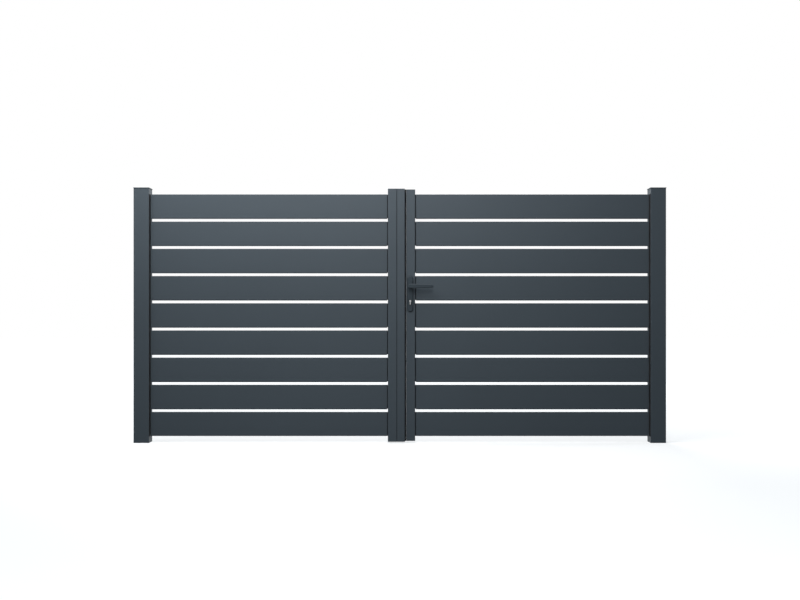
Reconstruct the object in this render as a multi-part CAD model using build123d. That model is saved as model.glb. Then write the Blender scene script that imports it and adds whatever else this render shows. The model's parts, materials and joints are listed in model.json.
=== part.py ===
from build123d import *
import os

# Two-leaf swing gate: horizontal slats between square posts, with a lever handle on the right leaf.
# Millimetres. The origin is the centre of the left post's foot, +X runs along the gate to the right
# post, +Y points to the back, the way the leaves open, and +Z is up.

# Posts and the opening between them
OPENING_WIDTH = 3122.0
POST_SIZE = 96.0
POST_WALL = 4.0
POST_CORNER = 3.0
POST_FOOT = 8.0
POST_RISE = 36.0
INNER_CORNER = 1.0

# Post caps
CAP_PLATE = 4.0
CAP_OVERHANG = 2.5
CAP_EDGE = 1.2
CAP_SPIGOT_DEPTH = 20.0
CAP_SPIGOT_WALL = 3.0
CAP_FIT_GAP = 0.3

# Slats
SLAT_COUNT = 9
SLAT_HEIGHT = 150.0
SLAT_GAP = 20.0
SLAT_DEPTH = 25.0
SLAT_WALL = 2.0
SLAT_CORNER = 3.0
SLAT_SETBACK = 28.0
SLAT_PLUG = 3.0
TONGUE_LENGTH = 5.0
TONGUE_DEPTH = 11.0
TONGUE_STEP = 8.0
GROUND_GAP = 40.0

# Leaf ends at the posts
LEAF_CLEARANCE = 5.0
HINGE_BAR = 4.0

# Stiles where the leaves meet
MEETING_OFFSET = 35.75
MEETING_GAP = 8.5
STILE_WIDTH = 56.0
STRIKE_STILE_WIDTH = 50.0
STRIKE_STILE_PROUD = 10.0
STILE_DEPTH = 40.0
STILE_WALL = 2.5
STILE_CORNER = 4.0
STILE_CAP = 3.0
STILE_CAP_SPIGOT = 15.0
LEFT_STILE_OVERHANG = 33.5
RIGHT_STILE_OVERHANG = 29.5

# Hinges: a bracket with an upright pin on each post, and an eye on a strap on each leaf
HINGE_SLATS = (1, 7)
PIN_RADIUS = 6.0
PIN_RUNNING_GAP = 0.05
PIN_RISE = 3.0
PIN_CHAMFER = 1.5
EYE_RADIUS = 11.0
EYE_HEIGHT = 60.0
EYE_BACK_GAP = 5.0
EYE_SEAT_GAP = 0.3
STRAP_THICKNESS = 6.0
STRAP_LENGTH = 110.0
STRAP_FILLET = 5.0
BRACKET_PLATE = 6.0
BRACKET_WIDTH = 60.0
BRACKET_HEIGHT = 120.0
BRACKET_INSET = 8.0
BRACKET_ARM = 14.0
BRACKET_ARM_ROOT = 34.0
BRACKET_CORNER = 6.0

# Lock and lever handle
LEVER_HEIGHT = 975.0
HANDLE_BACKSET = 25.0
CYLINDER_DROP = 92.0
PLATE_WIDTH = 35.0
PLATE_LENGTH = 221.0
PLATE_RISE = 63.0
PLATE_THICKNESS = 9.0
PLATE_CORNER = 17.0
PLATE_EDGE = 5.0
COLLAR_RADIUS = 14.0
COLLAR_HEIGHT = 3.0
NECK_RADIUS = 9.0
NECK_RUNNING_GAP = 0.05
LEVER_LENGTH = 143.0
LEVER_REACH = 56.0
LEVER_THICKNESS = 14.0
LEVER_HUB_RADIUS = 14.0
LEVER_TIP_RADIUS = 11.0
LEVER_EDGE = 4.5
SPINDLE_SIZE = 8.0
SPINDLE_GRIP = 24.0
SPINDLE_FIT_GAP = 0.1
SPINDLE_HOLE_RADIUS = 10.0
CYLINDER_RADIUS = 8.5
CYLINDER_FLANK = 10.0
CYLINDER_DEPTH = 33.0
CYLINDER_PROUD = 3.0
CYLINDER_FIT_GAP = 0.2
KEY_SLOT_WIDTH = 2.4
KEY_SLOT_LENGTH = 9.0
KEY_SLOT_DEPTH = 6.0
LOCK_CASE_THICKNESS = 15.0
LOCK_CASE_DEPTH = 48.0
LOCK_CASE_HEIGHT = 165.0
LOCK_CASE_TOP = 36.0
LOCK_CUT_GAP = 1.0
EDGE_PLATE_WIDTH = 24.0
EDGE_PLATE_GAP = 0.3
FACEPLATE_LENGTH = 235.0
STRIKE_PLATE_LENGTH = 180.0
LATCH_THICKNESS = 12.0
LATCH_HEIGHT = 32.0
LATCH_DROP = 6.0
BOLT_HEIGHT = 38.0
BOLT_DROP = 96.0
BOLT_FIT_GAP = 0.4

# Places worked out from the sizes
HALF_POST = POST_SIZE / 2
CENTRE_X = HALF_POST + OPENING_WIDTH / 2
RIGHT_POST_X = POST_SIZE + OPENING_WIDTH
STACK_HEIGHT = SLAT_COUNT * SLAT_HEIGHT + (SLAT_COUNT - 1) * SLAT_GAP
STACK_TOP = GROUND_GAP + STACK_HEIGHT
POST_TUBE = STACK_TOP + POST_RISE
SLAT_FRONT = -HALF_POST + SLAT_SETBACK
SLAT_BACK = SLAT_FRONT + SLAT_DEPTH
SLAT_MIDDLE = (SLAT_FRONT + SLAT_BACK) / 2
STILE_FRONT = SLAT_MIDDLE - STILE_DEPTH / 2
STILE_BACK = SLAT_MIDDLE + STILE_DEPTH / 2
STRIKE_FRONT = STILE_FRONT - STRIKE_STILE_PROUD
BAR_OUTER = HALF_POST + LEAF_CLEARANCE
BAR_INNER = BAR_OUTER + HINGE_BAR
STRIKE_RIGHT = CENTRE_X + MEETING_OFFSET - MEETING_GAP / 2
STRIKE_LEFT = STRIKE_RIGHT - STRIKE_STILE_WIDTH
LEFT_STILE_LEFT = STRIKE_LEFT - STILE_WIDTH
RIGHT_STILE_LEFT = CENTRE_X + MEETING_OFFSET + MEETING_GAP / 2
RIGHT_STILE_RIGHT = RIGHT_STILE_LEFT + STILE_WIDTH
AXIS_X = HALF_POST + LEAF_CLEARANCE / 2
AXIS_Y = HALF_POST + EYE_BACK_GAP + EYE_RADIUS
HANDLE_X = RIGHT_STILE_LEFT + HANDLE_BACKSET
CYLINDER_Z = LEVER_HEIGHT - CYLINDER_DROP
LOCK_MIDDLE = LEVER_HEIGHT + LOCK_CASE_TOP - LOCK_CASE_HEIGHT / 2
CENTRE_PLANE = Plane.YZ.offset(CENTRE_X)


def block(x0, x1, y0, y1, z0, z1):
    """Box between two opposite corners."""
    middle = ((x0 + x1) / 2, (y0 + y1) / 2, (z0 + z1) / 2)
    return Pos(*middle) * Box(x1 - x0, y1 - y0, z1 - z0)


def upright_tube(x0, x1, y0, y1, z0, z1):
    """Stile tube standing along Z, round at its outer and inner corners."""
    width = x1 - x0
    depth = y1 - y0
    outline = RectangleRounded(width, depth, STILE_CORNER)
    hollow = RectangleRounded(width - 2 * STILE_WALL, depth - 2 * STILE_WALL, INNER_CORNER)
    return Pos((x0 + x1) / 2, (y0 + y1) / 2, z0) * extrude(outline - hollow, z1 - z0)


def slat_bottom(index):
    """Lower edge of a slat, counted from the bottom."""
    return GROUND_GAP + index * (SLAT_HEIGHT + SLAT_GAP)


def slat_tube(length):
    """Flat hollow slat along X from the origin, with a web across its middle."""
    chamber_height = (SLAT_HEIGHT - 3 * SLAT_WALL) / 2
    chamber = RectangleRounded(SLAT_DEPTH - 2 * SLAT_WALL, chamber_height, INNER_CORNER)
    step = (chamber_height + SLAT_WALL) / 2
    section = RectangleRounded(SLAT_DEPTH, SLAT_HEIGHT, SLAT_CORNER)
    section -= Pos(0, step) * chamber
    section -= Pos(0, -step) * chamber
    return extrude(Plane.YZ * section, length)


def slat(post_end, stile_end, index):
    """Slat from the end bar to the meeting stile, closed there by a plug with a tongue on the stile."""
    length = abs(stile_end - post_end)
    tube_length = length - TONGUE_LENGTH
    plug_face = Plane.YZ * RectangleRounded(SLAT_DEPTH, SLAT_HEIGHT, SLAT_CORNER)
    plug = Pos(tube_length - SLAT_PLUG, 0, 0) * extrude(plug_face, SLAT_PLUG)
    tongue_face = Plane.YZ * Rectangle(TONGUE_DEPTH, SLAT_HEIGHT - 2 * TONGUE_STEP)
    tongue = Pos(tube_length, 0, 0) * extrude(tongue_face, TONGUE_LENGTH)
    whole = slat_tube(tube_length) + plug + tongue
    if stile_end < post_end:
        whole = mirror(whole, about=Plane.YZ)
    return Pos(post_end, SLAT_MIDDLE, slat_bottom(index) + SLAT_HEIGHT / 2) * whole


def post(x):
    """Square hollow post closed at its foot."""
    outline = RectangleRounded(POST_SIZE, POST_SIZE, POST_CORNER)
    inside = POST_SIZE - 2 * POST_WALL
    hollow = RectangleRounded(inside, inside, INNER_CORNER)
    tube = extrude(outline, POST_TUBE) - Pos(0, 0, POST_FOOT) * extrude(hollow, POST_TUBE)
    return Pos(x, 0, 0) * tube


def post_cap(x):
    """Flat cap that stands a little proud of the post, with a hollow spigot inside it."""
    side = POST_SIZE + 2 * CAP_OVERHANG
    plate = extrude(RectangleRounded(side, side, POST_CORNER + CAP_OVERHANG), CAP_PLATE)
    plate = chamfer(plate.faces().sort_by(Axis.Z)[-1].edges(), CAP_EDGE)
    spigot_side = POST_SIZE - 2 * (POST_WALL + CAP_FIT_GAP)
    spigot_inside = spigot_side - 2 * CAP_SPIGOT_WALL
    ring = RectangleRounded(spigot_side, spigot_side, INNER_CORNER)
    ring -= RectangleRounded(spigot_inside, spigot_inside, INNER_CORNER)
    spigot = extrude(ring, -CAP_SPIGOT_DEPTH)
    return Pos(x, 0, POST_TUBE) * (plate + spigot)


def stile_cap(x0, x1, y0, y1):
    """End cap of a stile, seated on the end of its tube, with a spigot pointing down inside it."""
    plate = extrude(RectangleRounded(x1 - x0, y1 - y0, STILE_CORNER), STILE_CAP)
    spigot_width = x1 - x0 - 2 * (STILE_WALL + CAP_FIT_GAP)
    spigot_depth = y1 - y0 - 2 * (STILE_WALL + CAP_FIT_GAP)
    spigot = extrude(RectangleRounded(spigot_width, spigot_depth, INNER_CORNER), -STILE_CAP_SPIGOT)
    return Pos((x0 + x1) / 2, (y0 + y1) / 2, 0) * (plate + spigot)


def cap_pair(cap, bottom, top):
    """The same end cap at both ends of an upright tube."""
    upper = Pos(0, 0, top) * cap
    lower = Pos(0, 0, bottom) * mirror(cap, about=Plane.XY)
    return Compound([upper, lower])


def hinge_heights():
    """Middle height of each hinge eye, behind the slats that hide it."""
    return [slat_bottom(index) + SLAT_HEIGHT / 2 for index in HINGE_SLATS]


def hinge_bracket(height):
    """Plate on the back of the left post, with an arm that carries an upright pin."""
    right = HALF_POST - BRACKET_INSET
    plate_face = Plane.XZ * RectangleRounded(BRACKET_WIDTH, BRACKET_HEIGHT, BRACKET_CORNER)
    plate_place = Pos(right - BRACKET_WIDTH / 2, HALF_POST + BRACKET_PLATE, height)
    plate = plate_place * extrude(plate_face, BRACKET_PLATE)
    seat = height - EYE_HEIGHT / 2 - EYE_SEAT_GAP
    root = Pos(right - BRACKET_ARM_ROOT / 2, HALF_POST + BRACKET_PLATE / 2)
    root *= Rectangle(BRACKET_ARM_ROOT, BRACKET_PLATE)
    nose = Pos(AXIS_X, AXIS_Y) * Circle(EYE_RADIUS)
    outline = make_hull(root.edges() + nose.edges())
    arm = Pos(0, 0, seat - BRACKET_ARM) * extrude(outline, BRACKET_ARM)
    pin = extrude(Circle(PIN_RADIUS), EYE_HEIGHT + EYE_SEAT_GAP + PIN_RISE)
    pin = chamfer(pin.faces().sort_by(Axis.Z)[-1].edges(), PIN_CHAMFER)
    return plate + arm + Pos(AXIS_X, AXIS_Y, seat) * pin


def hinge_eye(height):
    """Strap on the back of the left leaf's end, turned back to an eye that drops over the pin."""
    outer = BAR_OUTER
    strap = Pos(outer + STRAP_LENGTH / 2, SLAT_BACK + STRAP_THICKNESS / 2)
    strap *= Rectangle(STRAP_LENGTH, STRAP_THICKNESS)
    arm_length = AXIS_Y - SLAT_BACK
    arm = Pos(outer + STRAP_THICKNESS / 2, SLAT_BACK + arm_length / 2)
    arm *= Rectangle(STRAP_THICKNESS, arm_length)
    inner_corner = (outer + STRAP_THICKNESS, SLAT_BACK + STRAP_THICKNESS)
    outline = strap + arm
    bend = outline.vertices().sort_by_distance((*inner_corner, 0))[0]
    outline = fillet(bend, STRAP_FILLET)
    outline += Pos(AXIS_X, AXIS_Y) * Circle(EYE_RADIUS)
    outline -= Pos(AXIS_X, AXIS_Y) * Circle(PIN_RADIUS + PIN_RUNNING_GAP)
    return Pos(0, 0, height - EYE_HEIGHT / 2) * extrude(outline, EYE_HEIGHT)


def cylinder_profile(gap):
    """Keyhole outline of a profile cylinder: a round barrel over a narrow flank."""
    radius = CYLINDER_RADIUS + gap
    flank_width = CYLINDER_FLANK + 2 * gap
    flank_bottom = CYLINDER_RADIUS - CYLINDER_DEPTH - gap
    flank = Pos(0, (flank_bottom + flank_width / 2) / 2)
    flank *= Rectangle(flank_width, -flank_bottom - flank_width / 2)
    foot = Pos(0, flank_bottom + flank_width / 2) * Circle(flank_width / 2)
    return Circle(radius) + flank + foot


def lock_through(outline, z):
    """Prism of an outline along Y right through the leaf, at the handle's line and a height."""
    reach = STILE_DEPTH + 4 * PLATE_THICKNESS
    return Pos(HANDLE_X, SLAT_MIDDLE + reach / 2, z) * extrude(Plane.XZ * outline, reach)


def handle_plate():
    """Narrow backplate on the front of the right stile, with a collar for the lever's neck."""
    face = Plane.XZ * RectangleRounded(PLATE_WIDTH, PLATE_LENGTH, PLATE_CORNER)
    middle = LEVER_HEIGHT + PLATE_RISE - PLATE_LENGTH / 2
    plate = Pos(HANDLE_X, STILE_FRONT, middle) * extrude(face, PLATE_THICKNESS)
    plate = fillet(plate.faces().sort_by(Axis.Y)[0].edges(), PLATE_EDGE)
    collar_face = Plane.XZ * Circle(COLLAR_RADIUS)
    collar = extrude(collar_face, PLATE_THICKNESS + COLLAR_HEIGHT)
    plate += Pos(HANDLE_X, STILE_FRONT, LEVER_HEIGHT) * collar
    plate -= lock_through(Circle(NECK_RADIUS + NECK_RUNNING_GAP), LEVER_HEIGHT)
    plate -= lock_through(cylinder_profile(CYLINDER_FIT_GAP), CYLINDER_Z)
    return plate


def lever():
    """Front lever: a tapered flat grip with soft edges on a round neck, socketed for the spindle."""
    plate_front = STILE_FRONT - PLATE_THICKNESS
    grip_front = plate_front - LEVER_REACH
    hub = Circle(LEVER_HUB_RADIUS)
    tip = Pos(LEVER_LENGTH - LEVER_TIP_RADIUS, 0) * Circle(LEVER_TIP_RADIUS)
    outline = make_hull(hub.edges() + tip.edges())
    grip = extrude(Plane.XZ * outline, LEVER_THICKNESS)
    grip = fillet(grip.faces().filter_by(Axis.Y).edges(), LEVER_EDGE)
    grip = Pos(0, grip_front + LEVER_THICKNESS, 0) * grip
    neck_length = STILE_FRONT - grip_front - LEVER_THICKNESS / 2
    neck = Pos(0, STILE_FRONT, 0) * extrude(Plane.XZ * Circle(NECK_RADIUS), neck_length)
    socket_side = SPINDLE_SIZE + 2 * SPINDLE_FIT_GAP
    socket = extrude(Plane.XZ * Rectangle(socket_side, socket_side), SPINDLE_GRIP)
    whole = grip + neck - Pos(0, STILE_FRONT, 0) * socket
    return Pos(HANDLE_X, 0, LEVER_HEIGHT) * whole


def lock_cylinder():
    """Profile cylinder through both backplates, with a key slot at each end."""
    length = STILE_DEPTH + 2 * (PLATE_THICKNESS + CYLINDER_PROUD)
    body = extrude(Plane.XZ * cylinder_profile(0), length)
    body = Pos(HANDLE_X, SLAT_MIDDLE + length / 2, CYLINDER_Z) * body
    slot = Box(KEY_SLOT_WIDTH, 2 * KEY_SLOT_DEPTH, KEY_SLOT_LENGTH)
    for end in (-length / 2, length / 2):
        body -= Pos(HANDLE_X, SLAT_MIDDLE + end, CYLINDER_Z) * slot
    return body


def bolt_block(x0, x1, drop, height, gap):
    """Prism of one lock bolt, its middle a drop below the lever's axis."""
    half_y = LATCH_THICKNESS / 2 + gap
    half_z = height / 2 + gap
    z = LEVER_HEIGHT - drop
    return block(x0, x1, SLAT_MIDDLE - half_y, SLAT_MIDDLE + half_y, z - half_z, z + half_z)


def bolt_holes(x0, x1):
    """Holes for the latch and the dead bolt through a plate or wall between two X places."""
    latch = bolt_block(x0, x1, LATCH_DROP, LATCH_HEIGHT, BOLT_FIT_GAP)
    return latch + bolt_block(x0, x1, BOLT_DROP, BOLT_HEIGHT, BOLT_FIT_GAP)


def mortise_lock():
    """Lock case behind the faceplate, both bolts drawn back flush, bored for spindle and cylinder."""
    left = RIGHT_STILE_LEFT + STILE_WALL
    half_y = LOCK_CASE_THICKNESS / 2
    half_z = LOCK_CASE_HEIGHT / 2
    case = block(
        left, left + LOCK_CASE_DEPTH, SLAT_MIDDLE - half_y, SLAT_MIDDLE + half_y,
        LOCK_MIDDLE - half_z, LOCK_MIDDLE + half_z,
    )
    case += bolt_block(RIGHT_STILE_LEFT, left, LATCH_DROP, LATCH_HEIGHT, 0)
    case += bolt_block(RIGHT_STILE_LEFT, left, BOLT_DROP, BOLT_HEIGHT, 0)
    case -= lock_through(Circle(SPINDLE_HOLE_RADIUS), LEVER_HEIGHT)
    return case - lock_through(cylinder_profile(CYLINDER_FIT_GAP), CYLINDER_Z)


def edge_slab(x, length, gap):
    """Round-ended slab as thick as a stile's wall, grown by a gap for the cut that takes it."""
    outline = SlotOverall(length + 2 * gap, EDGE_PLATE_WIDTH + 2 * gap, rotation=90)
    return Pos(x, SLAT_MIDDLE, LOCK_MIDDLE) * extrude(Plane.YZ * outline, STILE_WALL)


def edge_plate(x, length):
    """Plate let in flush with the edge of a stile, pierced for the bolts."""
    return edge_slab(x, length, 0) - bolt_holes(x, x + STILE_WALL)


def mirrored_back(shape):
    """The same piece on the back of the leaf."""
    return mirror(shape, about=Plane.XZ.offset(-SLAT_MIDDLE))


def right_side(shape):
    """The same piece at the right post."""
    return mirror(shape, about=CENTRE_PLANE)


def build():
    """Every node of the gate by name."""
    nodes = {}
    nodes["left_post"] = post(0)
    nodes["right_post"] = post(RIGHT_POST_X)
    nodes["post_caps"] = Compound([post_cap(0), post_cap(RIGHT_POST_X)])
    brackets = Compound([hinge_bracket(height) for height in hinge_heights()])
    nodes["left_hinge_brackets"] = brackets
    nodes["right_hinge_brackets"] = right_side(brackets)
    eyes = Compound([hinge_eye(height) for height in hinge_heights()])
    nodes["left_hinge_eyes"] = eyes
    nodes["right_hinge_eyes"] = right_side(eyes)

    bar = block(BAR_OUTER, BAR_INNER, SLAT_FRONT, SLAT_BACK, GROUND_GAP, STACK_TOP)
    nodes["left_hinge_bar"] = bar
    nodes["right_hinge_bar"] = right_side(bar)
    right_slat_end = 2 * CENTRE_X - BAR_INNER
    for index in range(SLAT_COUNT):
        nodes[f"left_slat_{index + 1}"] = slat(BAR_INNER, LEFT_STILE_LEFT, index)
        nodes[f"right_slat_{index + 1}"] = slat(right_slat_end, RIGHT_STILE_RIGHT, index)

    bottom = GROUND_GAP - LEFT_STILE_OVERHANG + STILE_CAP
    top = STACK_TOP + LEFT_STILE_OVERHANG - STILE_CAP
    strike_x = STRIKE_RIGHT - STILE_WALL
    nodes["left_meeting_stile"] = upright_tube(
        LEFT_STILE_LEFT, STRIKE_LEFT, STRIKE_FRONT, STILE_BACK, bottom, top
    )
    strike_stile = upright_tube(STRIKE_LEFT, STRIKE_RIGHT, STRIKE_FRONT, STILE_BACK, bottom, top)
    nodes["strike_stile"] = strike_stile - edge_slab(strike_x, STRIKE_PLATE_LENGTH, EDGE_PLATE_GAP)
    nodes["strike_plate"] = edge_plate(strike_x, STRIKE_PLATE_LENGTH)
    cap = stile_cap(LEFT_STILE_LEFT, STRIKE_LEFT, STRIKE_FRONT, STILE_BACK)
    nodes["left_stile_caps"] = cap_pair(cap, bottom, top)
    cap = stile_cap(STRIKE_LEFT, STRIKE_RIGHT, STRIKE_FRONT, STILE_BACK)
    nodes["strike_stile_caps"] = cap_pair(cap, bottom, top)

    bottom = GROUND_GAP - RIGHT_STILE_OVERHANG + STILE_CAP
    top = STACK_TOP + RIGHT_STILE_OVERHANG - STILE_CAP
    stile = upright_tube(RIGHT_STILE_LEFT, RIGHT_STILE_RIGHT, STILE_FRONT, STILE_BACK, bottom, top)
    stile -= edge_slab(RIGHT_STILE_LEFT, FACEPLATE_LENGTH, EDGE_PLATE_GAP)
    stile -= lock_through(Circle(SPINDLE_HOLE_RADIUS), LEVER_HEIGHT)
    stile -= lock_through(cylinder_profile(LOCK_CUT_GAP), CYLINDER_Z)
    nodes["right_meeting_stile"] = stile
    cap = stile_cap(RIGHT_STILE_LEFT, RIGHT_STILE_RIGHT, STILE_FRONT, STILE_BACK)
    nodes["right_stile_caps"] = cap_pair(cap, bottom, top)

    nodes["lock_faceplate"] = edge_plate(RIGHT_STILE_LEFT, FACEPLATE_LENGTH)
    nodes["mortise_lock"] = mortise_lock()
    nodes["lock_cylinder"] = lock_cylinder()
    plate = handle_plate()
    nodes["front_handle_plate"] = plate
    nodes["back_handle_plate"] = mirrored_back(plate)
    front_lever = lever()
    nodes["front_lever"] = front_lever
    nodes["back_lever"] = mirrored_back(front_lever)
    spindle_length = STILE_DEPTH + 2 * SPINDLE_GRIP
    spindle = Box(SPINDLE_SIZE, spindle_length, SPINDLE_SIZE)
    nodes["spindle"] = Pos(HANDLE_X, SLAT_MIDDLE, LEVER_HEIGHT) * spindle
    return nodes


os.makedirs("parts", exist_ok=True)
for name, shape in build().items():
    export_step(shape, f"parts/{name}.step")
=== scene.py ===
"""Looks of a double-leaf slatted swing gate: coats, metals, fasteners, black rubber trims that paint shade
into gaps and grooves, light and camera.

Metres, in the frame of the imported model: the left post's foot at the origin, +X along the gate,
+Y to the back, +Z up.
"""
import json
from math import pi, radians

import bpy
import numpy as np
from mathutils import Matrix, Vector


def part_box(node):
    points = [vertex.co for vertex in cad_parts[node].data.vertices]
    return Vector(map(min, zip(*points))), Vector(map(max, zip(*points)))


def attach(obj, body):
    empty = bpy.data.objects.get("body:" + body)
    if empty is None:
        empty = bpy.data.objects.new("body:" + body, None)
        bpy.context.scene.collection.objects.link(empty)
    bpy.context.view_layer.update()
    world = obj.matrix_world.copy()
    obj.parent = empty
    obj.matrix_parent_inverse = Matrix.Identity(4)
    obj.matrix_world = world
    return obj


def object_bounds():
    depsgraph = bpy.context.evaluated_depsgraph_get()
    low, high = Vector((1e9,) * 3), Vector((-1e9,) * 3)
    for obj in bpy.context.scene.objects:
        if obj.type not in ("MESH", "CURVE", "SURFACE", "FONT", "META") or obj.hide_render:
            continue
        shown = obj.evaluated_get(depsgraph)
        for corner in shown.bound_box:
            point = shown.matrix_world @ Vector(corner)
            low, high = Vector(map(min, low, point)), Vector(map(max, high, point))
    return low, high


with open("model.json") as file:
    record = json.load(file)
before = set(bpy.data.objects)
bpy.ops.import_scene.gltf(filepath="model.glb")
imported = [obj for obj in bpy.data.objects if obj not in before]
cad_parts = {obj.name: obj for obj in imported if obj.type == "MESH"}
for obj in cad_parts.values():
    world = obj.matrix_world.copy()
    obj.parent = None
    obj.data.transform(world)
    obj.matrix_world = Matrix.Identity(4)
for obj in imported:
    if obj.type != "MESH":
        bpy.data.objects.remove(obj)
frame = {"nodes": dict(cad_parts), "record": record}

CAD_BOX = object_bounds()

# Camera, as the photograph was taken: square on, at mid-height, with the image shifted up a little
LENS = 50.0
SENSOR = 36.0
IMAGE_WIDTH = 800
EYE_DISTANCE = 6.94
VANISHING_X = 399.8
VANISHING_Y = 315.2
IMAGE_MIDDLE = (400, 300)

# Fasteners
HINGE_SLATS = (2, 8)
SLAT_COUNT = 9
BRACKET_WIDTH = 0.060
BRACKET_PLATE = 0.006
BRACKET_BOLT_INSET = 0.011
BRACKET_BOLT_RISE = 0.0505
STRAP_THICKNESS = 0.006
STRAP_BOLT_STEPS = (0.038, 0.090)
STRAP_BOLT_RISE = 0.017
EYE_TOP = 0.030
PIN_CAP_LIFT = 0.0006
END_SCREW_RISE = 0.045
PLATE_SCREW_INSET = 0.020
COLLAR_RISE = 0.003
EDGE_SCREW_INSET = 0.013
EYE_RADIUS = 0.011

# Bolts by head radius, head height and socket radius, screws by head radius and socket radius
BRACKET_BOLT = (0.0052, 0.0032, 0.0022)
STRAP_BOLT = (0.0062, 0.0036, 0.0026)
END_SCREW = (0.0050, 0.0021)
PLATE_SCREW = (0.0043, 0.0018)
EDGE_SCREW = (0.0034, 0.0015)

# Rubber seal in the gap between the stiles; its black, deep in the gap, is also painted shade for the gap's
# shadow
SHADE_SEAL_BASE = 0.0022
SHADE_SEAL_TIP = 0.0009
SHADE_SEAL_SPARE = 0.0003
SHADE_SEAL_INSET = 0.0064

# Black gaskets round the slats' tongues: painted shade deep in the groove between slat and stile
SHADE_GASKET_SETBACK = 0.0062
SHADE_GASKET_RIM = 0.0003
SHADE_GASKET_WIDTH = 0.005
SHADE_GASKET_SPARE = 0.0002

# Drip lips under the slats
LIP_SETBACK = 0.0010
LIP_DEPTH = 0.0050
LIP_DROP = 0.0036
LIP_SEAT = 0.0010

# Black strips on the posts' inner faces: painted shade in the gap between post and slats
SHADE_BUFFER_THICKNESS = 0.0020
SHADE_BUFFER_FRONT = 0.0035
SHADE_BUFFER_BACK = 0.050
SHADE_BUFFER_SEAT = 0.0003

# Black bead in the groove between the left stile and the strike stile: painted shade that darkens the groove
SHADE_BEAD_DEPTH = 0.0007
SHADE_BEAD_FRONT_HALF = 0.0019
SHADE_BEAD_BACK_HALF = 0.0004
SHADE_BEAD_THICKNESS = 0.0026
SHADE_BEAD_CROWN = 0.2

# Black base rim under each handle plate, and black surround of the profile cylinder: painted shade round
# their edges
SHADE_BASE_MARGIN = 0.0018
SHADE_BASE_THICKNESS = 0.0030
SHADE_BASE_SEAT = 0.0004
SHADE_BASE_STEPS = 96
SHADE_SURROUND_HALF_WIDTH = 0.0020
SHADE_SURROUND_OFFSET = -0.0002
SHADE_SURROUND_COVER = 0.0004
CYLINDER_FLANK_HALF = 0.005
PLUG_SHARE = 0.60
PLUG_RIM = 0.00035

# Powder coat: sizes and heights of its grain, orange peel and drift in tone
GRAIN_TONE = 0.45
GRAIN_HEIGHT = 0.000045
GRAIN_GLOSS = 0.16
PEEL_SHARE = 7
PEEL_HEIGHT = 0.00006
DRIFT_SIZE = 0.55
DRIFT_GLOSS = 0.10
COAT_DARK = 0.88
COAT_LIGHT = 1.12

# Brushed metal
STREAK_SIZE = 0.0012
STREAK_HEIGHT = 0.000012
STREAK_GLOSS = 0.18
SMUDGE_SIZE = 0.03
SMUDGE_GLOSS = 0.12
METAL_DARK = 0.82
METAL_LIGHT = 1.1

# Black rubber, whose black is painted shade in the gaps, grooves and rims where it is put
RUBBER_DARK = (0.008, 0.008, 0.009, 1.0)
RUBBER_LIGHT = (0.017, 0.017, 0.018, 1.0)
RUBBER_ROUGHNESS = 0.66
RUBBER_GLOSS = 0.1
RUBBER_GRAIN = 0.0007
RUBBER_RELIEF = 0.00003
BLOOM_SIZE = 0.02
BLOOM_GLOSS = 0.14

# Edges sharper than this, in degrees, aren't smoothed
SHARP_ANGLE = 35.0


class Number:
    """A value in a shader tree. Arithmetic on it adds Math nodes to the tree."""

    def __init__(self, tree, socket):
        self.tree = tree
        self.socket = socket

    def join(self, operation, first, second):
        """One Math node on two values, either of which may be a plain number."""
        node = self.tree.nodes.new("ShaderNodeMath")
        node.operation = operation
        for place, value in zip(node.inputs, (first, second)):
            if isinstance(value, Number):
                self.tree.links.new(value.socket, place)
            else:
                place.default_value = value
        return Number(self.tree, node.outputs[0])

    def __add__(self, other):
        return self.join("ADD", self, other)

    def __sub__(self, other):
        return self.join("SUBTRACT", self, other)

    def __rsub__(self, other):
        return self.join("SUBTRACT", other, self)

    def __mul__(self, other):
        return self.join("MULTIPLY", self, other)

    __radd__ = __add__
    __rmul__ = __mul__


class Shading:
    """A node tree, and the ways to add nodes to it."""

    def __init__(self, tree):
        self.tree = tree

    def feed(self, socket, value):
        """Links a value into a socket, or sets the socket to a plain number, vector or colour."""
        if isinstance(value, Number):
            self.tree.links.new(value.socket, socket)
        elif isinstance(value, bpy.types.NodeSocket):
            self.tree.links.new(value, socket)
        else:
            socket.default_value = value

    def node(self, kind, settings=(), sockets=()):
        """Any node: its type, its settings, then its sockets by name or number."""
        made = self.tree.nodes.new(kind)
        for name, value in dict(settings).items():
            setattr(made, name, value)
        for name, value in dict(sockets).items():
            self.feed(made.inputs[name], value)
        return made

    def blend(self, factor, first, second):
        """Colour between two colours."""
        sockets = {0: factor, 6: first, 7: second}
        return self.node("ShaderNodeMix", {"data_type": "RGBA"}, sockets).outputs[2]

    def plain_view(self):
        """1 for camera, glossy and transmission rays, which see a plain white background."""
        path = self.node("ShaderNodeLightPath").outputs
        rays = [Number(self.tree, path[f"Is {kind} Ray"]) for kind in ("Camera", "Glossy", "Transmission")]
        total = rays[0] + rays[1] + rays[2]
        return total.join("MINIMUM", total, 1.0)


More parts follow.
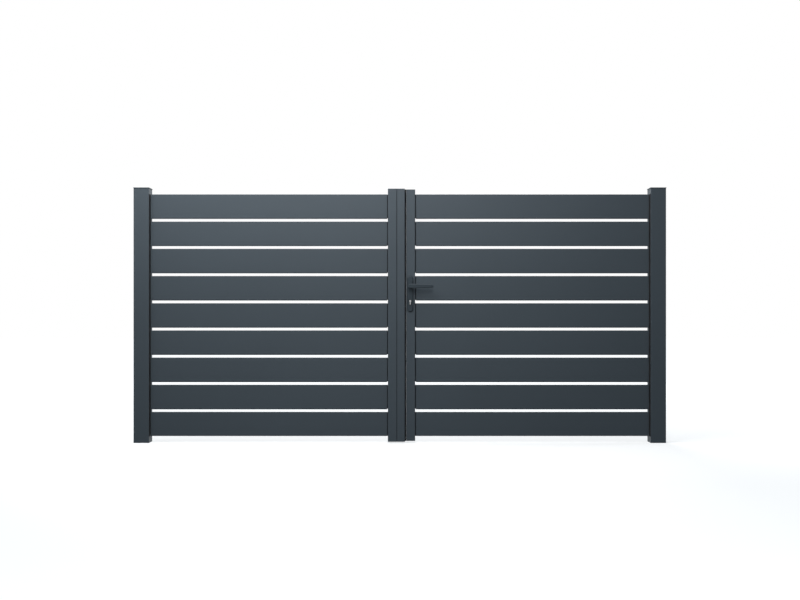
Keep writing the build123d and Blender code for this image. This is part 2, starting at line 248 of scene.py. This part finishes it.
class Finish(Shading):
    """A material and its node tree, built around one Principled shader."""

    def __init__(self, name):
        self.material = bpy.data.materials.new(name)
        self.material.use_nodes = True
        super().__init__(self.material.node_tree)
        self.shader = self.tree.nodes["Principled BSDF"]
        self.place = self.node("ShaderNodeTexCoord").outputs["Object"]

    def noise(self, size, detail=2.0, stretch=(1.0, 1.0, 1.0)):
        """Noise whose features are about size metres across, drawn out along the axes by stretch."""
        scale = tuple(1.0 / (size * part) for part in stretch)
        mapped = self.node("ShaderNodeMapping", (), {"Vector": self.place, "Scale": scale})
        sockets = {"Vector": mapped.outputs[0], "Scale": 1.0, "Detail": detail}
        return Number(self.tree, self.node("ShaderNodeTexNoise", (), sockets).outputs["Fac"])

    def relief(self, height):
        """Bump from a height in metres."""
        sockets = {"Height": height, "Strength": 1.0, "Distance": 1.0}
        self.feed(self.shader.inputs["Normal"], self.node("ShaderNodeBump", (), sockets).outputs[0])

    def set(self, **values):
        """Sockets of the Principled shader, with underscores for spaces."""
        for name, value in values.items():
            self.feed(self.shader.inputs[name.replace("_", " ")], value)


def shade(colour, factor):
    """The same colour, lighter or darker."""
    return (*(part * factor for part in colour), 1.0)


def powder_coat(name, colour, roughness, grain_size, gloss):
    """Fine-textured powder coat: a close grain over a soft orange peel, a little uneven in tone."""
    finish = Finish(name)
    grain = finish.noise(grain_size)
    peel = finish.noise(PEEL_SHARE * grain_size, 1.0)
    drift = finish.noise(DRIFT_SIZE, 3.0)
    tone = GRAIN_TONE * grain + (1 - GRAIN_TONE) * drift
    finish.set(
        Base_Color=finish.blend(tone, shade(colour, COAT_DARK), shade(colour, COAT_LIGHT)),
        Roughness=roughness + GRAIN_GLOSS * (grain - 0.5) + DRIFT_GLOSS * (drift - 0.5),
        Specular_IOR_Level=gloss,
    )
    finish.relief(GRAIN_HEIGHT * grain + PEEL_HEIGHT * peel)
    return finish.material


def brushed_metal(name, colour, roughness, stretch):
    """Metal brushed along one axis: streaks in tone, gloss and relief."""
    finish = Finish(name)
    streaks = finish.noise(STREAK_SIZE, 3.0, stretch)
    smudge = finish.noise(SMUDGE_SIZE)
    finish.set(
        Base_Color=finish.blend(streaks, shade(colour, METAL_DARK), shade(colour, METAL_LIGHT)),
        Roughness=roughness + STREAK_GLOSS * (streaks - 0.5) + SMUDGE_GLOSS * (smudge - 0.5),
        Metallic=1.0,
    )
    finish.relief(STREAK_HEIGHT * streaks)
    return finish.material


def painted_shade_rubber():
    """Dull black rubber with a faint grain and a bloom in patches; its black is painted shade in the gaps
    and grooves where it is put.
    """
    finish = Finish("painted_shade_rubber")
    grain = finish.noise(RUBBER_GRAIN)
    bloom = finish.noise(BLOOM_SIZE, 3.0)
    finish.set(
        Base_Color=finish.blend(bloom, RUBBER_DARK, RUBBER_LIGHT),
        Roughness=RUBBER_ROUGHNESS + BLOOM_GLOSS * (bloom - 0.5),
        Specular_IOR_Level=RUBBER_GLOSS,
    )
    finish.relief(RUBBER_RELIEF * grain)
    return finish.material


COAT = (0.051, 0.0635, 0.0745)
COAT_GLOSS = 0.14
COAT_ROUGHNESS = 0.46
# The handle has the frame's paint; this darker copy of the coat is painted shade on the lever and plate
HANDLE_COAT = (0.029, 0.0385, 0.0465)
HANDLE_GLOSS = 0.12
COATS = {
    "frame_coat": powder_coat("frame_coat", COAT, COAT_ROUGHNESS, 0.0009, COAT_GLOSS),
    "slat_coat": powder_coat("slat_coat", COAT, COAT_ROUGHNESS, 0.0009, COAT_GLOSS),
    "cap_coat": powder_coat("cap_coat", shade(COAT, 0.95)[:3], 0.54, 0.0008, COAT_GLOSS),
    "hinge_coat": powder_coat("hinge_coat", shade(COAT, 0.85)[:3], 0.55, 0.0011, COAT_GLOSS),
    "handle_coat": powder_coat("handle_coat", HANDLE_COAT, 0.36, 0.0006, HANDLE_GLOSS),
    "lock_steel": brushed_metal("lock_steel", (0.55, 0.56, 0.57), 0.34, (1.0, 1.0, 40.0)),
    "cylinder_nickel": brushed_metal("cylinder_nickel", (0.30, 0.31, 0.315), 0.30, (1.0, 30.0, 1.0)),
}
BOLT_STEEL = brushed_metal("bolt_steel", (0.52, 0.53, 0.54), 0.32, (1.0, 1.0, 1.0))
# Black rubber of the pieces below, which paint shade into gaps, grooves and round the handle plates
SHADE_RUBBER = painted_shade_rubber()


def dress_frame():
    """Gives every node of the model the finish of its slot."""
    for part in frame["record"]["subparts"]:
        for place in frame["nodes"][part["node"]].material_slots:
            place.material = COATS[part["material_slot"]]


def add_piece(name, points, faces, material, body):
    """A mesh piece from arrays of points and faces, smooth but for its sharp edges, riding on a body."""
    mesh = bpy.data.meshes.new(name)
    mesh.from_pydata(points.tolist(), [], faces)
    mesh.polygons.foreach_set("use_smooth", np.ones(len(mesh.polygons), bool))
    mesh.set_sharp_from_angle(angle=radians(SHARP_ANGLE))
    mesh.materials.append(material)
    piece = bpy.data.objects.new(name, mesh)
    bpy.context.scene.collection.objects.link(piece)
    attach(piece, body)


def hexagon(angle):
    """Radius of a regular hexagon of circumradius 1 at an angle: cos 30 / cos of the angle from a flat."""
    return np.cos(pi / 6) / np.cos(np.mod(angle, pi / 3) - pi / 6)


def turned(profile, sides):
    """Closed turned shape about +Z from rows of (radius, height, hexagon share), poles at both ends.

    Point = (r(a) cos a, r(a) sin a, h), with r(a) = radius times (1 - share + share hexagon(a)).
    """
    rings = np.asarray(profile, float)
    angle = np.arange(sides) * 2 * pi / sides
    radius, height, share = rings[1:-1].T[:, :, None]
    reach = radius * (1 - share + share * hexagon(angle))
    height = np.broadcast_to(height, reach.shape)
    wall = np.stack([reach * np.cos(angle), reach * np.sin(angle), height], -1).reshape(-1, 3)
    poles = np.array([[0, 0, rings[0, 1]], [0, 0, rings[-1, 1]]])
    points = np.concatenate([wall, poles])
    count = len(rings) - 2
    step = np.arange(sides)
    after = (step + 1) % sides
    row = np.arange(count - 1)[:, None] * sides
    quads = np.stack([row + step, row + after, row + sides + after, row + sides + step], -1)
    first = len(wall)
    top = (count - 1) * sides
    low_fan = np.stack([np.full(sides, first), after, step], -1)
    high_fan = np.stack([np.full(sides, first + 1), top + step, top + after], -1)
    return points, [*quads.reshape(-1, 4).tolist(), *low_fan.tolist(), *high_fan.tolist()]


def spread(shape, places, normal):
    """Copies of a shape about +Z, stood on each place along a normal, as one set of points and faces."""
    points, faces = shape
    axis = Vector(normal)
    turn = np.array(Vector((0, 0, 1)).rotation_difference(axis).to_matrix())
    placed = [points @ turn.T + np.asarray(place) for place in places]
    starts = [copy * len(points) for copy in range(len(places))]
    copied = [[index + start for index in face] for start in starts for face in faces]
    return np.concatenate(placed), copied


def joined(*sets):
    """Several sets of points and faces as one."""
    points = np.concatenate([part[0] for part in sets])
    starts = np.cumsum([0] + [len(part[0]) for part in sets[:-1]])
    faces = [[index + int(start) for index in face] for part, start in zip(sets, starts) for face in part[1]]
    return points, faces


def dome_bolt(radius, height, socket):
    """Round-headed bolt with a hexagon socket: a quarter-ellipse dome, then the socket's wall and floor."""
    sunk = -0.0005
    skirt = 0.0006
    swing = np.linspace(0, 0.42 * pi, 7)
    dome = np.stack([radius * np.cos(swing) ** 0.9, skirt + height * np.sin(swing), 0 * swing], -1)
    lip = height + skirt
    bottom = lip - 0.62 * height
    rows = [(0, sunk, 0), (radius, sunk, 0), *dome.tolist()]
    rows += [(1.12 * socket, lip, 0.6), (socket, lip - 0.0003, 1), (socket, lip - 0.6 * height, 1)]
    rows += [(0.5 * socket, bottom, 0.5), (0, bottom, 0)]
    return turned(rows, 36)


def flush_screw(radius, socket):
    """Countersunk screw head, almost flush, with a bevelled rim and a hexagon socket."""
    sunk = -0.0004
    top = 0.0006
    bottom = -0.0001
    rows = [(0, sunk, 0), (radius, sunk, 0), (radius, 0.0002, 0), (0.93 * radius, top, 0)]
    rows += [(1.1 * socket, top, 0.6), (socket, 0.0003, 1), (socket, bottom, 1), (0, bottom, 0)]
    return turned(rows, 36)


def pin_cap():
    """Domed cap over the top of a hinge pin: a short wall, a rounded shoulder and a shallow dome."""
    flat = 0.0055
    wall = 0.0045
    shoulder = 0.0035
    swing = np.linspace(0, 0.5 * pi, 8)
    crown = np.stack([flat + shoulder * np.cos(swing), wall + shoulder * np.sin(swing), 0 * swing], -1)
    rows = [(0, 0, 0), (0.0086, 0, 0), (0.009, 0.0004, 0), *crown.tolist()]
    rows += [(0.003, 0.0086, 0), (0, 0.0088, 0)]
    return turned(rows, 40)


def ring(radius, tube, sides=48, around=10):
    """Torus lying on the plane of its own centre line: (R + t cos b) about +Z, height t sin b."""
    angle = np.arange(sides)[:, None] * 2 * pi / sides
    turn = np.arange(around) * 2 * pi / around
    reach = radius + tube * np.cos(turn)
    height = tube * np.sin(turn) + 0 * angle
    points = np.stack([reach * np.cos(angle), reach * np.sin(angle), height], -1).reshape(-1, 3)
    return points, loop_faces(sides, around, True)


def loop_faces(rows, columns, closed):
    """Quads of a grid that closes on itself along its columns, and along its rows if closed."""
    row = np.arange(rows if closed else rows - 1)[:, None]
    column = np.arange(columns)
    ahead = (row + 1) % rows
    beside = (column + 1) % columns
    here = row * columns
    there = ahead * columns
    quads = np.broadcast_arrays(here + column, there + column, there + beside, here + beside)
    return np.stack(quads, -1).reshape(-1, 4).tolist()


def prism(section, low, high):
    """Closed upright bar: a section of (x, y) rows, turning left, carried from one height to another."""
    count = len(section)
    rows = [np.column_stack([section, np.full(count, end)]) for end in (low, high)]
    faces = [face[::-1] for face in loop_faces(2, count, False)]
    faces += [list(range(count))[::-1], list(range(count, 2 * count))]
    return np.concatenate(rows), faces


def rail(section, low, high):
    """Closed bar along +X: a section of (y, z) rows, turning left, carried from one x to another."""
    points, faces = prism(section, low, high)
    return np.roll(points, 1, 1), faces


def rounded(turn, power):
    """Superellipse of half axes 1: sign(cos a) |cos a|^power, and the same of sin a."""
    across, upward = np.cos(turn), np.sin(turn)
    return np.sign(across) * np.abs(across) ** power, np.sign(upward) * np.abs(upward) ** power


def hinge_heights():
    """Middle height of each hinge, behind the slats that hide it."""
    heights = []
    for number in HINGE_SLATS:
        low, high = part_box(f"left_slat_{number}")
        heights.append((low.z + high.z) / 2)
    return heights


def add_hinge_fasteners():
    """Bolts of the hinge brackets and straps, and the caps on the hinge pins, on both sides."""
    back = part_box("left_post")[1].y + BRACKET_PLATE
    slat_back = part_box("left_slat_1")[1].y + STRAP_THICKNESS
    bolt = dome_bolt(*BRACKET_BOLT)
    strap_bolt = dome_bolt(*STRAP_BOLT)
    bracket_places = []
    cap_places = []
    for side, leaf in ((1, "left"), (-1, "right")):
        low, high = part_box(f"{leaf}_hinge_brackets")
        outer = low.x if side > 0 else high.x
        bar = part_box(f"{leaf}_hinge_bar")
        start = bar[0].x if side > 0 else bar[1].x
        axis_x = (high.x if side > 0 else low.x) - side * EYE_RADIUS
        strap_places = []
        for height in hinge_heights():
            for step in (BRACKET_BOLT_INSET, BRACKET_WIDTH - BRACKET_BOLT_INSET):
                for rise in (-BRACKET_BOLT_RISE, BRACKET_BOLT_RISE):
                    bracket_places.append((outer + side * step, back, height + rise))
            for step in STRAP_BOLT_STEPS:
                for rise in (-STRAP_BOLT_RISE, STRAP_BOLT_RISE):
                    strap_places.append((start + side * step, slat_back, height + rise))
            cap_places.append((axis_x, high.y - EYE_RADIUS, height + EYE_TOP + PIN_CAP_LIFT))
        points, faces = spread(strap_bolt, strap_places, (0, 1, 0))
        add_piece(f"{leaf}_strap_bolts", points, faces, BOLT_STEEL, f"{leaf}_leaf")
    points, faces = spread(bolt, bracket_places, (0, 1, 0))
    add_piece("bracket_bolts", points, faces, BOLT_STEEL, "posts")
    points, faces = spread(pin_cap(), cap_places, (0, 0, 1))
    add_piece("hinge_pin_caps", points, faces, COATS["hinge_coat"], "posts")


def add_end_screws():
    """Flush screws through the end bars into the slat ends, two a slat, on the faces next to the posts."""
    screw = flush_screw(*END_SCREW)
    for side, leaf in ((1, "left"), (-1, "right")):
        low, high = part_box(f"{leaf}_hinge_bar")
        face = low.x if side > 0 else high.x
        depth = (low.y + high.y) / 2
        places = []
        for number in range(1, SLAT_COUNT + 1):
            bottom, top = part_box(f"{leaf}_slat_{number}")
            height = (bottom.z + top.z) / 2
            places += [(face, depth, height - END_SCREW_RISE), (face, depth, height + END_SCREW_RISE)]
        points, faces = spread(screw, places, (-side, 0, 0))
        add_piece(f"{leaf}_end_screws", points, faces, BOLT_STEEL, f"{leaf}_leaf")


def add_lock_trim():
    """Screws of the handle plates and edge plates, and the rims round the cylinder's plug."""
    low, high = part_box("front_handle_plate")
    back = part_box("back_handle_plate")[1].y
    middle = (low.x + high.x) / 2
    screw = flush_screw(*PLATE_SCREW)
    heights = (low.z + PLATE_SCREW_INSET, high.z - PLATE_SCREW_INSET)
    front_set = spread(screw, [(middle, low.y + COLLAR_RISE, height) for height in heights], (0, -1, 0))
    back_set = spread(screw, [(middle, back - COLLAR_RISE, height) for height in heights], (0, 1, 0))
    points, faces = joined(front_set, back_set)
    add_piece("handle_plate_screws", points, faces, COATS["handle_coat"], "right_leaf")

    small = flush_screw(*EDGE_SCREW)
    for node, body, side in (("lock_faceplate", "right_leaf", -1), ("strike_plate", "left_leaf", 1)):
        low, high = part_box(node)
        face = low.x if side < 0 else high.x
        depth = (low.y + high.y) / 2
        ends = (low.z + EDGE_SCREW_INSET, high.z - EDGE_SCREW_INSET)
        points, faces = spread(small, [(face, depth, end) for end in ends], (side, 0, 0))
        add_piece(f"{node}_screws", points, faces, BOLT_STEEL, body)

    low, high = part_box("lock_cylinder")
    radius = (high.x - low.x) / 2
    centre = (low.x + radius, high.z - radius)
    rim = ring(PLUG_SHARE * radius, PLUG_RIM)
    places = [(centre[0], low.y, centre[1]), (centre[0], high.y, centre[1])]
    points, faces = spread(rim, places, (0, -1, 0))
    add_piece("cylinder_plug_rims", points, faces, COATS["cylinder_nickel"], "right_leaf")


def keyhole(radius, flank, drop, count=240):
    """Outline of a profile cylinder about its barrel's axis, turning left, with soft inner corners.

    An arc of the barrel's radius, two straight flanks and a half circle at the foot, spaced evenly along
    the outline and then averaged over a few points on either side.
    """
    start = -np.arccos(flank / radius)
    barrel = np.linspace(start, pi - start, 200)
    foot = np.linspace(pi, 2 * pi, 100)
    x = np.concatenate([radius * np.cos(barrel), flank * np.cos(foot), radius * np.cos(barrel[:1])])
    y = np.concatenate([radius * np.sin(barrel), flank * np.sin(foot) - drop, radius * np.sin(barrel[:1])])
    along = np.concatenate([[0], np.cumsum(np.hypot(np.diff(x), np.diff(y)))])
    even = np.linspace(0, along[-1], count, endpoint=False)
    line = np.stack([np.interp(even, along, x), np.interp(even, along, y)], -1)
    return np.mean([np.roll(line, shift, 0) for shift in range(-5, 6)], 0)


def add_cylinder_shade_surrounds():
    """Black surrounds of the cylinder on both handle plates: painted shade round the bright cylinder.

    A superellipse section of exponent 4, carried round the keyhole: w sign(cos a) sqrt|cos a| across the
    outline and h sign(sin a) sqrt|sin a| out of the plate.
    """
    low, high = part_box("lock_cylinder")
    radius = (high.x - low.x) / 2
    drop = high.z - low.z - radius - CYLINDER_FLANK_HALF
    line = keyhole(radius, CYLINDER_FLANK_HALF, drop)
    ahead = np.roll(line, -1, 0) - np.roll(line, 1, 0)
    outward = np.stack([ahead[:, 1], -ahead[:, 0]], -1) / np.linalg.norm(ahead, axis=1)[:, None]
    turn = np.arange(16) * 2 * pi / 16
    share, lift = rounded(turn, 0.5)
    across = SHADE_SURROUND_OFFSET + SHADE_SURROUND_HALF_WIDTH * share
    centre = (low.x + radius, high.z - radius)
    sets = []
    for side, face, node in ((-1, low.y, "front_handle_plate"), (1, high.y, "back_handle_plate")):
        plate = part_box(node)
        ground = plate[0].y + COLLAR_RISE if side < 0 else plate[1].y - COLLAR_RISE
        half = abs(face - ground) / 2 + SHADE_SURROUND_COVER
        middle = (face + ground) / 2
        ring_x = centre[0] + line[:, :1] + outward[:, :1] * across
        ring_z = centre[1] + line[:, 1:] + outward[:, 1:] * across
        ring_y = middle - half * lift + 0 * ring_x
        points = np.stack([ring_x, ring_y, ring_z], -1).reshape(-1, 3)
        sets.append((points, loop_faces(len(line), len(turn), True)))
    points, faces = joined(*sets)
    add_piece("cylinder_shade_surrounds", points, faces, SHADE_RUBBER, "right_leaf")


def add_plate_shade_bases():
    """Black base rims round the handle plates, against the stile: painted shade along the plates' edges.

    Round-ended outline: x = r cos a, and z = r sin a plus the sign of sin a times half the straight length.
    A rectangle is carried round it, from just inside the plate's edge to the rim's edge.
    """
    turn = (np.arange(SHADE_BASE_STEPS) + 0.5) * 2 * pi / SHADE_BASE_STEPS
    reach = np.array([SHADE_BASE_MARGIN, SHADE_BASE_MARGIN, -SHADE_BASE_SEAT, -SHADE_BASE_SEAT])
    sets = []
    for node in ("front_handle_plate", "back_handle_plate"):
        low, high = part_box(node)
        radius = (high.x - low.x) / 2
        straight = (high.z - low.z) / 2 - radius
        front = high.y - SHADE_BASE_THICKNESS if node == "front_handle_plate" else low.y
        back = front + SHADE_BASE_THICKNESS
        across = (radius + reach) * np.cos(turn)[:, None]
        upward = (radius + reach) * np.sin(turn)[:, None] + straight * np.sign(np.sin(turn))[:, None]
        depth = np.array([back, front, front, back]) + 0 * across
        points = np.stack([(low.x + high.x) / 2 + across, depth, (low.z + high.z) / 2 + upward], -1)
        sets.append((points.reshape(-1, 3), loop_faces(SHADE_BASE_STEPS, len(reach), True)))
    points, faces = joined(*sets)
    add_piece("plate_shade_bases", points, faces, SHADE_RUBBER, "right_leaf")


def add_meeting_shade_seal():
    """Rubber lip down the strike stile that closes the gap to the right stile; its black, deep in the gap,
    is also painted shade for the gap's shadow.

    Its section is a tongue: along s from 0 to 1 it reaches s times the gap, and its half thickness
    falls from the base to the tip and closes there as a quarter ellipse.
    """
    strike_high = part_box("strike_stile")[1]
    lock_low, lock_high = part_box("right_meeting_stile")
    reach = lock_low.x - strike_high.x - SHADE_SEAL_SPARE
    share = np.linspace(0, 1, 14)
    half = (SHADE_SEAL_BASE + (SHADE_SEAL_TIP - SHADE_SEAL_BASE) * share) * np.sqrt(1 - share ** 8)
    along = np.concatenate([share, share[-2::-1]]) * reach + strike_high.x
    depth = lock_high.y - SHADE_SEAL_INSET
    across = np.concatenate([half, -half[-2::-1]]) + depth
    cap_low, cap_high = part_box("strike_stile_caps")
    ends = (cap_low.z, cap_high.z)
    points, faces = prism(np.stack([along, across], -1)[::-1], *ends)
    add_piece("meeting_shade_seal", points, faces, SHADE_RUBBER, "left_leaf")


def add_post_shade_buffers():
    """Black strips down the posts' inner faces, where the slats end: painted shade in the gap between post
    and slats.

    Half a superellipse on the post's face: depth b sign(cos a) |cos a|^(1/4), thickness t |sin a|^(1/4).
    """
    across, lift = rounded(np.linspace(0, pi, 25), 0.25)
    sets = []
    for side, node in ((1, "left_post"), (-1, "right_post")):
        low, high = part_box(node)
        face = high.x if side > 0 else low.x
        front = low.y + SHADE_BUFFER_FRONT
        half = (SHADE_BUFFER_BACK - SHADE_BUFFER_FRONT) / 2
        place = face - side * SHADE_BUFFER_SEAT + side * (SHADE_BUFFER_THICKNESS + SHADE_BUFFER_SEAT) * lift
        section = np.stack([place, front + half - side * half * across], -1)
        bar_low, bar_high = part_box("left_hinge_bar")
        sets.append(prism(section, bar_low.z, bar_high.z))
    points, faces = joined(*sets)
    add_piece("post_shade_buffers", points, faces, SHADE_RUBBER, "posts")


def add_stile_shade_bead():
    """Black bead in the groove where the strike stile meets the left stile: painted shade that darkens the
    groove.

    Its section narrows from front to back between the stiles' round corners: a shallow arc in front,
    x = h sin a and y = d - c h cos a, and a straight back edge.
    """
    low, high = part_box("strike_stile")
    turn = np.linspace(-0.5 * pi, 0.5 * pi, 11)
    depth = low.y + SHADE_BEAD_DEPTH
    front = [low.x + SHADE_BEAD_FRONT_HALF * np.sin(turn), depth - SHADE_BEAD_CROWN * SHADE_BEAD_FRONT_HALF * np.cos(turn)]
    back = [low.x + SHADE_BEAD_BACK_HALF * np.array([1, -1]), np.full(2, depth + SHADE_BEAD_THICKNESS)]
    section = np.concatenate([np.stack(front, -1), np.stack(back, -1)])
    points, faces = prism(section, low.z, high.z)
    add_piece("stile_shade_bead", points, faces, SHADE_RUBBER, "left_leaf")


def add_slat_shade_gaskets():
    """Black gasket round each slat's tongue, deep in the groove between the slat and the stile: painted
    shade that darkens the groove.

    Each is a block with rounded long edges: its section is the superellipse |y/b|^n + |z/c|^n = 1, n = 8.
    """
    across, upward = rounded(np.arange(48) * 2 * pi / 48, 0.25)
    for leaf, node, side in (("left", "left_meeting_stile", -1), ("right", "right_meeting_stile", 1)):
        low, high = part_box(node)
        face = low.x if side < 0 else high.x
        sets = []
        for number in range(1, SLAT_COUNT + 1):
            bottom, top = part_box(f"{leaf}_slat_{number}")
            half_depth = (top.y - bottom.y) / 2 - SHADE_GASKET_SETBACK
            half_height = (top.z - bottom.z) / 2 - SHADE_GASKET_RIM
            depth = (top.y + bottom.y) / 2 + half_depth * across
            height = (top.z + bottom.z) / 2 + half_height * upward
            near = face + side * SHADE_GASKET_SPARE
            far = face + side * (SHADE_GASKET_WIDTH - SHADE_GASKET_SPARE)
            sets.append(rail(np.stack([depth, height], -1), min(near, far), max(near, far)))
        points, faces = joined(*sets)
        add_piece(f"{leaf}_slat_shade_gaskets", points, faces, SHADE_RUBBER, f"{leaf}_leaf")


def add_slat_lips():
    """Drip lip under the front edge of every slat but the lowest, in the slats' coat.

    Half a superellipse hung from the slat: depth b sign(cos a) |cos a|^(1/4), drop d |sin a|^(1/4).
    """
    across, drop = rounded(np.linspace(0, pi, 25), 0.25)
    for leaf in ("left", "right"):
        bar_low, bar_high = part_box(f"{leaf}_hinge_bar")
        stile_low, stile_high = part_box(f"{leaf}_meeting_stile")
        if leaf == "left":
            ends = (bar_high.x, stile_low.x - SHADE_GASKET_WIDTH)
        else:
            ends = (stile_high.x + SHADE_GASKET_WIDTH, bar_low.x)
        sets = []
        for number in range(2, SLAT_COUNT + 1):
            low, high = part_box(f"{leaf}_slat_{number}")
            depth = low.y + LIP_SETBACK + LIP_DEPTH / 2 - LIP_DEPTH / 2 * across
            height = low.z + LIP_SEAT - (LIP_DROP + LIP_SEAT) * drop
            sets.append(rail(np.stack([depth, height], -1), *ends))
        points, faces = joined(*sets)
        add_piece(f"{leaf}_slat_lips", points, faces, COATS["slat_coat"], f"{leaf}_leaf")


FILL_COLOUR = (0.07, 0.14, 0.19, 1.0)
WHITE = (1.0, 1.0, 1.0, 1.0)
BLACK = (0.0, 0.0, 0.0, 1.0)
FLOOR_SIZE = 60.0
FLOOR_COLOUR = (0.46, 0.46, 0.46, 1.0)
FLOOR_BOUNCE = (0.04, 0.04, 0.04, 1.0)
FLOOR_GLOW = 0.55
FLOOR_NEAR = 2.5
FLOOR_FAR = 7.0
KEY_PLACE = Vector((0.9, -0.75, 2.8))
KEY_AIM = Vector((1.6, 0.0, 1.0))
KEY_SIZE = 3.0
KEY_POWER = 121.0
FRONT_PLACE = Vector((1.8, -5.0, 3.1))
FRONT_AIM = Vector((1.6, 0.0, 0.8))
FRONT_SIZE = 1.0
FRONT_POWER = 76.0
BACK_PLACE = Vector((2.3, 4.6, 4.2))
BACK_POWER = 210.0
BACK_SIZE = 2.2
SIDE_DISTANCE = 4.6
SIDE_DEPTH = 0.75
SIDE_HEIGHT = 1.9
SIDE_POWER = 40.0
SIDE_SIZE = 1.2


def add_world():
    """Even soft fill, seen as plain white by the camera and in reflections."""
    world = bpy.data.worlds.new("studio")
    bpy.context.scene.world = world
    world.use_nodes = True
    sky = Shading(world.node_tree)
    background = world.node_tree.nodes["Background"]
    sky.feed(background.inputs["Color"], sky.blend(sky.plain_view(), FILL_COLOUR, WHITE))


def add_floor():
    """Pale floor that keeps the gate's shadow, with a glow that only the camera and mirrors see."""
    half = FLOOR_SIZE / 2
    mesh = bpy.data.meshes.new("floor")
    corners = [(-half, -half, 0), (half, -half, 0), (half, half, 0), (-half, half, 0)]
    mesh.from_pydata(corners, [], [(0, 1, 2, 3)])
    floor = bpy.data.objects.new("floor", mesh)
    bpy.context.scene.collection.objects.link(floor)
    finish = Finish("floor")
    middle = (CAD_BOX[0] + CAD_BOX[1]) / 2
    apart = finish.node("ShaderNodeVectorMath", {"operation": "DISTANCE"}, {0: finish.place, 1: middle})
    limits = {"From Min": FLOOR_NEAR, "From Max": FLOOR_FAR, "To Min": FLOOR_GLOW, "To Max": 1.0}
    limits["Value"] = apart.outputs["Value"]
    glow = finish.node("ShaderNodeMapRange", {"interpolation_type": "SMOOTHSTEP"}, limits).outputs["Result"]
    white = finish.plain_view()
    seen = white * Number(finish.tree, glow)
    finish.set(
        Base_Color=finish.blend(white, FLOOR_BOUNCE, FLOOR_COLOUR),
        Roughness=0.9,
        Specular_IOR_Level=0.0,
        Emission_Color=finish.blend(seen, BLACK, WHITE),
        Emission_Strength=1.0,
    )
    mesh.materials.append(finish.material)


def add_lamp(name, place, aim, size, power):
    """Square soft lamp, aimed at a point and hidden from the camera."""
    data = bpy.data.lights.new(name, "AREA")
    data.shape = "SQUARE"
    data.size = size
    data.energy = power
    lamp = bpy.data.objects.new(name, data)
    lamp.location = place
    lamp.rotation_mode = "QUATERNION"
    lamp.rotation_quaternion = (aim - place).to_track_quat("-Z", "Y")
    lamp.visible_camera = False
    bpy.context.scene.collection.objects.link(lamp)


def add_side_lamps():
    """Soft lamps at both ends, behind the plane of the slats, so that the posts' sides aren't black."""
    middle = (CAD_BOX[0] + CAD_BOX[1]) / 2
    for name, side in (("left_lamp", -1), ("right_lamp", 1)):
        place = Vector((middle.x + side * SIDE_DISTANCE, SIDE_DEPTH, SIDE_HEIGHT))
        add_lamp(name, place, Vector((middle.x, SIDE_DEPTH, middle.z)), SIDE_SIZE, SIDE_POWER)


def add_camera():
    """Camera square on to the slats, its image shifted so that the eye's height lies below the middle."""
    slat_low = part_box("left_slat_1")[0]
    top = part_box(f"left_slat_{SLAT_COUNT}")[1].z
    pixel = SENSOR / LENS / IMAGE_WIDTH
    gate_middle = (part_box("left_post")[0].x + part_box("right_post")[1].x) / 2
    data = bpy.data.cameras.new("photo_camera")
    data.lens = LENS
    data.sensor_width = SENSOR
    data.shift_y = (VANISHING_Y - IMAGE_MIDDLE[1]) / IMAGE_WIDTH
    camera = bpy.data.objects.new("photo_camera", data)
    aside = (IMAGE_MIDDLE[0] - VANISHING_X) * pixel * EYE_DISTANCE
    camera.location = (gate_middle + aside, slat_low.y - EYE_DISTANCE, (slat_low.z + top) / 2)
    camera.rotation_euler = (pi / 2, 0, 0)
    bpy.context.scene.collection.objects.link(camera)
    bpy.context.scene.camera = camera


dress_frame()
add_hinge_fasteners()
add_end_screws()
add_lock_trim()
add_meeting_shade_seal()
add_slat_shade_gaskets()
add_slat_lips()
add_cylinder_shade_surrounds()
add_plate_shade_bases()
add_stile_shade_bead()
add_post_shade_buffers()
add_world()
add_floor()
add_lamp("key_lamp", KEY_PLACE, KEY_AIM, KEY_SIZE, KEY_POWER)
add_lamp("front_lamp", FRONT_PLACE, FRONT_AIM, FRONT_SIZE, FRONT_POWER)
add_lamp("back_lamp", BACK_PLACE, KEY_AIM, BACK_SIZE, BACK_POWER)
add_side_lamps()
add_camera()
bpy.context.scene.view_settings.view_transform = "Standard"
